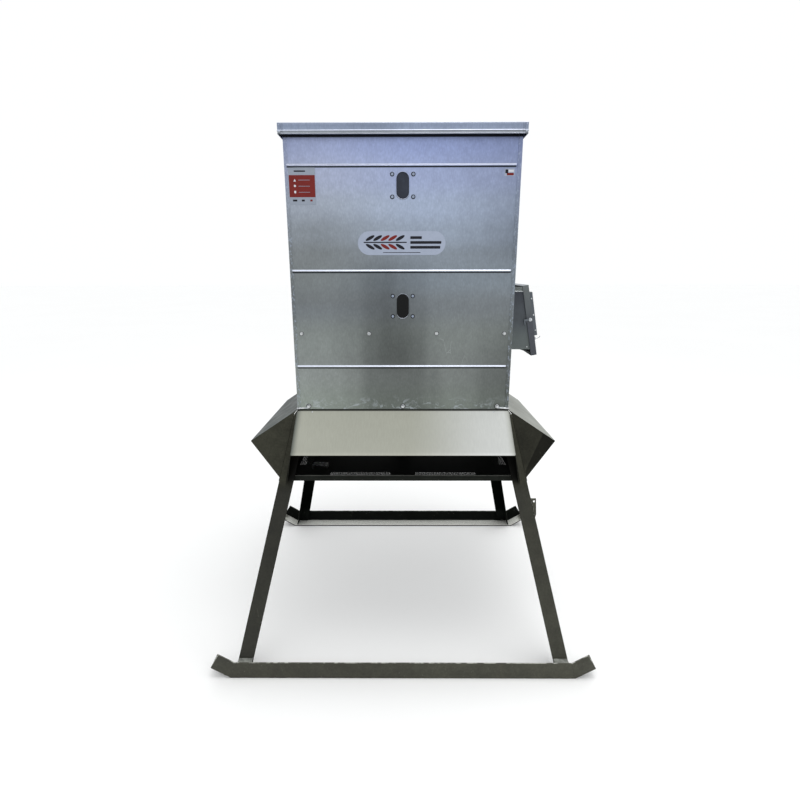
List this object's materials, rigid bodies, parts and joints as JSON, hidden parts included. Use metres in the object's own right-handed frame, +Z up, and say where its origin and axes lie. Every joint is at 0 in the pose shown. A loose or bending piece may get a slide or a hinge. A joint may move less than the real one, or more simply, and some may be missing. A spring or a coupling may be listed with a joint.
{
  "type": "spin cast feeder",
  "caption": "Free-standing spin cast feeder: a ribbed sheet-metal hopper with a hinged lid on raked angle-iron legs and skids, four sloped awnings over a pan, and a motor-driven casting disc.",
  "frame": {"origin": "on the ground, under the centre of the hopper and midway between the skids", "axes": "+Z up, -Y towards the front face with the sight windows, +X towards the control box; the skids run along X"},
  "size_m": [1.6298, 1.374, 2.211],
  "materials": {
    "galvanised": "galvanised sheet steel with fine spangle, satin, streaked and scuffed near its lower edge",
    "bronze_paint": "dark bronze-olive powder coat, semi-gloss with a fine texture, dusty on upward faces",
    "zinc_steel": "bright zinc-plated steel, lightly dulled",
    "window_pane": "smoked clear plastic sheet, glossy",
    "box_enamel": "slate-grey satin enamel",
    "solar_cell": "dark blue solar cells under glossy cover, thin light frame",
    "black_plastic": "black moulded plastic, matt",
    "button_plastic": "red moulded buttons, satin"
  },
  "bodies": {
    "frame": {"battery": "black_plastic", "control_box": "box_enamel", "door_hinge_box_leaf": "zinc_steel", "door_hinge_pin": "zinc_steel", "feed_pan": "bronze_paint", "feed_spout": "galvanised", "front_awning": "bronze_paint", "front_base_rail": "bronze_paint", "front_funnel_plate": "galvanised", "front_left_end_gusset": "bronze_paint", "front_left_leg": "bronze_paint", "front_left_side_gusset": "bronze_paint", "front_right_end_gusset": "bronze_paint", "front_right_leg": "bronze_paint", "front_right_side_gusset": "bronze_paint", "front_skid": "bronze_paint", "hopper_front": "galvanised", "hopper_left": "galvanised", "hopper_rear": "galvanised", "hopper_right": "galvanised", "left_awning": "bronze_paint", "left_base_rail": "bronze_paint", "left_funnel_plate": "galvanised", "lid_hinge_pin": "zinc_steel", "lid_hinge_wall_leaf": "zinc_steel", "lower_window": "window_pane", "motor": "zinc_steel", "motor_bracket": "zinc_steel", "pan_tab": "zinc_steel", "rear_awning": "bronze_paint", "rear_base_rail": "bronze_paint", "rear_funnel_plate": "galvanised", "rear_left_end_gusset": "bronze_paint", "rear_left_leg": "bronze_paint", "rear_left_side_gusset": "bronze_paint", "rear_right_end_gusset": "bronze_paint", "rear_right_leg": "bronze_paint", "rear_right_side_gusset": "bronze_paint", "rear_skid": "bronze_paint", "right_awning": "bronze_paint", "right_base_rail": "bronze_paint", "right_funnel_plate": "galvanised", "tie_down_lug": "bronze_paint", "timer": "black_plastic", "upper_window": "window_pane"},
    "lid": {"lid": "galvanised", "lid_hinge_lid_leaf": "zinc_steel"},
    "door": {"control_door": "box_enamel", "solar_panel": "solar_cell", "lead_hook": "zinc_steel", "door_hinge_door_leaf": "zinc_steel"},
    "latch": {"door_latch": "zinc_steel"},
    "gate": {"slide_gate": "zinc_steel"},
    "spinner": {"motor_shaft": "zinc_steel", "spinner_hub": "zinc_steel", "spinner_plate": "galvanised"},
    "set_key": {"set_button": "button_plastic"},
    "test_key": {"test_button": "button_plastic"},
    "mode_key": {"mode_button": "button_plastic"},
    "toggle": {"power_switch": "zinc_steel"}
  },
  "joints": [
    {"name": "lid_hinge", "type": "hinge", "parent": "frame", "child": "lid", "pos_m": [0, 0.3925, 2.176], "axis": [-1, 0, 0], "range_deg": [0, 110]},
    {"name": "door_hinge", "type": "hinge", "parent": "frame", "child": "door", "pos_m": [0.56669, 0.151, 1.45217], "axis": [-0.179, 0, 0.9838], "range_deg": [0, 115]},
    {"name": "latch_turn", "type": "hinge", "parent": "door", "child": "latch", "pos_m": [0.58037, -0.147, 1.46076], "axis": [0, 1, 0], "range_deg": [0, 80]},
    {"name": "gate_slide", "type": "slide", "parent": "frame", "child": "gate", "axis": [0, 1, 0], "range_m": [0, 0.112]},
    {"name": "spinner_spin", "type": "hinge", "parent": "frame", "child": "spinner", "pos_m": [0, 0, 0.888], "axis": [0, 0, 1], "continuous": true},
    {"name": "set_press", "type": "slide", "parent": "frame", "child": "set_key", "axis": [-1, 0, 0], "range_m": [0, 0.0015], "stiffness_N_per_m": 400},
    {"name": "test_press", "type": "slide", "parent": "frame", "child": "test_key", "axis": [-1, 0, 0], "range_m": [0, 0.0015], "stiffness_N_per_m": 400},
    {"name": "mode_press", "type": "slide", "parent": "frame", "child": "mode_key", "axis": [-1, 0, 0], "range_m": [0, 0.0015], "stiffness_N_per_m": 400},
    {"name": "power_toggle", "type": "hinge", "parent": "frame", "child": "toggle", "pos_m": [0.4853, 0, 1.528], "axis": [0, -1, 0], "range_deg": [0, 30]}
  ]
}
